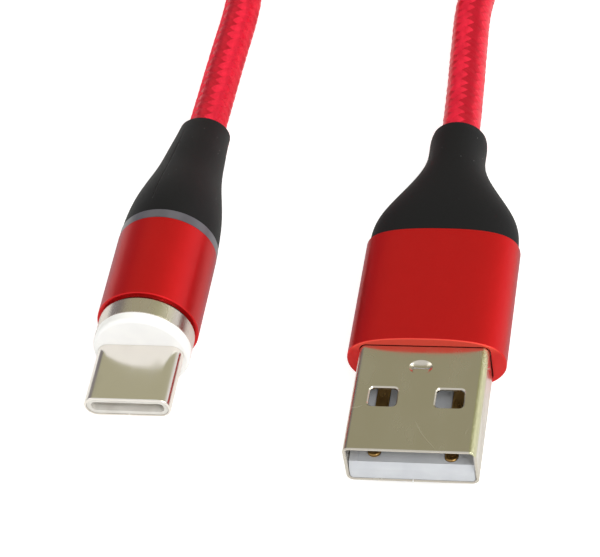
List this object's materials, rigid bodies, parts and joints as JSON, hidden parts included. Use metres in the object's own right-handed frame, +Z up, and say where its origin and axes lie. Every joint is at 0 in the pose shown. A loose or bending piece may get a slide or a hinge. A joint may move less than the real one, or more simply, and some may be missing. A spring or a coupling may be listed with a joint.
{
  "type": "charging cable",
  "caption": "Braided charging cable with a USB-A plug and a magnetic end that holds a detachable USB-C tip.",
  "frame": {"origin": "bottom centre of the two plugs as they lie, without the cord", "axes": "+Z up from the surface, +Y from the plugs' mouths towards the cord, +X from the magnetic end towards the USB-A plug"},
  "size_m": [0.0544, 0.1273, 0.0097],
  "materials": {
    "nickel": "nickel plate, fine drawing marks and faint smudges",
    "white_plastic": "moulded, glossy",
    "gilt": "gold flash over nickel",
    "tin": "solder",
    "wire_red": "extruded insulation",
    "wire_black": "extruded insulation",
    "inner_mould": "natural moulded",
    "red_anodised": "fine satin anodised, bright chamfers",
    "black_rubber": "moulded matt",
    "braid": "woven polyester, diamond braid",
    "light_ring": "translucent grey, satin",
    "board": "solder mask",
    "magnet": "nickel-plated magnet",
    "jacket": "extruded jacket under the braid",
    "tie_fabric": "woven hook-and-loop",
    "clear_led": "clear resin"
  },
  "bodies": {
    "cable": {"usb_a_shell": "nickel", "usb_a_insulator": "white_plastic", "usb_a_contact_power": "gilt", "usb_a_contact_ground": "gilt", "usb_a_solder": "tin", "usb_a_wire_power": "wire_red", "usb_a_wire_ground": "wire_black", "usb_a_inner_mould": "inner_mould", "usb_a_housing": "red_anodised", "usb_a_boot": "black_rubber", "usb_a_cord_end": "jacket", "usb_a_crimp_ring": "gilt", "mag_boot": "black_rubber", "mag_cord_end": "jacket", "mag_crimp_ring": "gilt", "mag_wire_power": "wire_red", "mag_wire_ground": "wire_black", "mag_light_ring": "light_ring", "mag_sleeve": "red_anodised", "mag_carrier": "inner_mould", "mag_board": "board", "mag_solder": "tin", "mag_leds": "clear_led", "mag_resistor": "wire_black", "mag_magnet": "magnet", "mag_contact_ring": "gilt", "mag_pin_bush": "inner_mould", "mag_pin_barrel": "gilt", "mag_pin_spring": "nickel", "cord_usb_run": "braid", "cord_mag_run": "braid", "cord_coil": "braid", "cord_tie": "tie_fabric"},
    "pin": {"mag_pin_plunger": "gilt"},
    "tip_base": {"tip_base": "nickel", "tip_centre_pad": "gilt", "tip_pad_washer": "inner_mould"},
    "tip": {"tip_board": "board", "tip_collar": "white_plastic", "tip_usb_c_shell": "nickel", "tip_usb_c_liner": "white_plastic", "tip_contacts_upper": "gilt", "tip_contacts_lower": "gilt", "tip_latch_springs": "nickel"}
  },
  "joints": [
    {"name": "tip_pull", "type": "slide", "parent": "cable", "child": "tip_base", "axis": [0, -1, 0], "range_m": [0, 0.015]},
    {"name": "tip_spin", "type": "hinge", "parent": "tip_base", "child": "tip", "pos_m": [-0.0146, -0.017, 0.00487], "axis": [0, -1, 0], "continuous": true},
    {"name": "pin_press", "type": "slide", "parent": "cable", "child": "pin", "axis": [0, 1, 0], "range_m": [0, 0.0006], "stiffness_N_per_m": 600, "springref_m": -0.0004, "deforming": ["mag_pin_spring"]}
  ]
}
